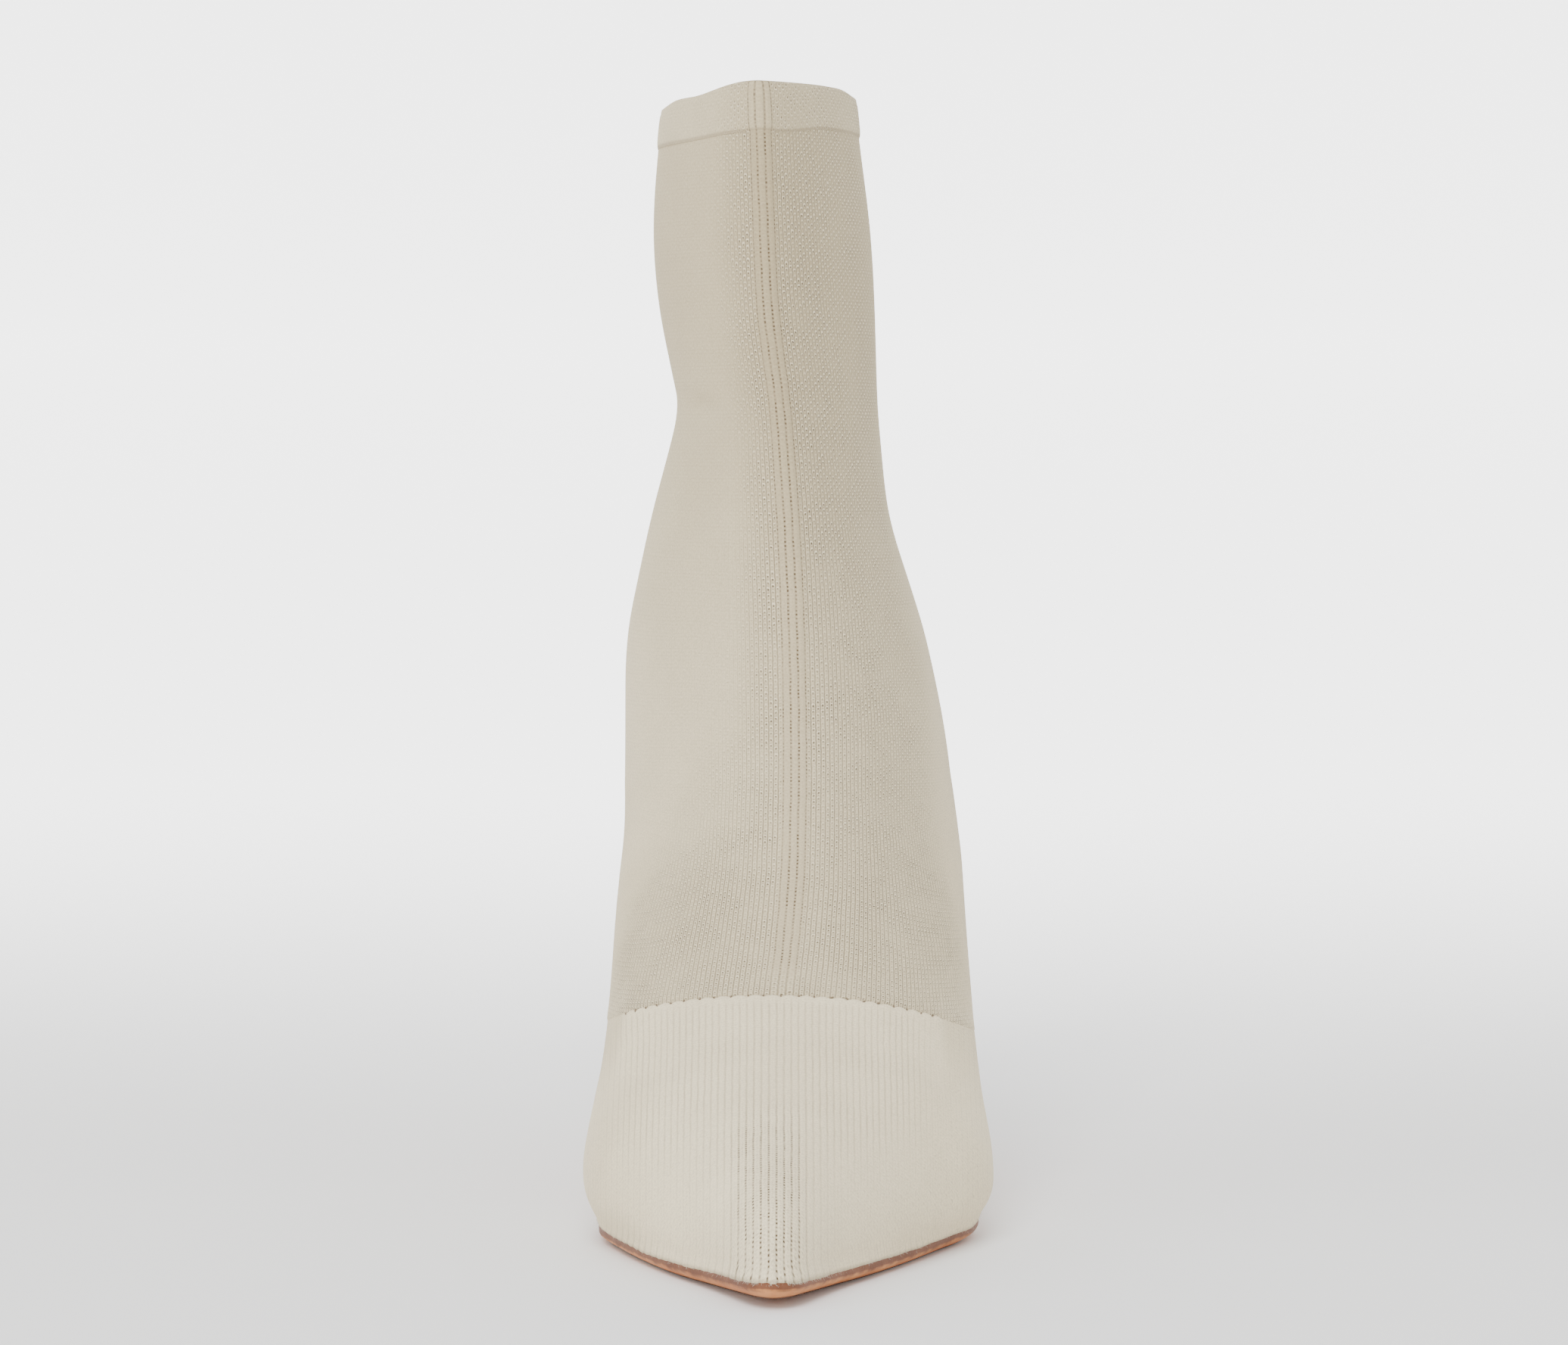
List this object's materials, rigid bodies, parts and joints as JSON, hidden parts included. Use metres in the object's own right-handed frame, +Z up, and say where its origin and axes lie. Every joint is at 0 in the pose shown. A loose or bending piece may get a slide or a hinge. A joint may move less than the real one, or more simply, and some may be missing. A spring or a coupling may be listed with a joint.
{
  "type": "sweater boot",
  "caption": "Pull-on knitted ankle boot for the left foot, with a pointed toe, a turned hem at the collar, a thin bevelled outsole and a slim covered heel.",
  "frame": {"origin": "middle of the bounding box, on the floor that the boot stands on", "axes": "+Z up the leg, -Y towards the toe, +X towards the outer side of the left foot"},
  "size_m": [0.0856, 0.2402, 0.2403],
  "materials": {
    "knit": "matte ivory knit with fine ribs",
    "lining": "smooth matte",
    "sole_leather": "burnished edge, satin",
    "heel_cover": "matte ivory covering",
    "top_piece_rubber": "matte"
  },
  "bodies": {
    "root": {"upper": "knit", "insole": "lining", "outsole": "sole_leather", "heel": "heel_cover", "top_piece": "top_piece_rubber"}
  },
  "joints": []
}
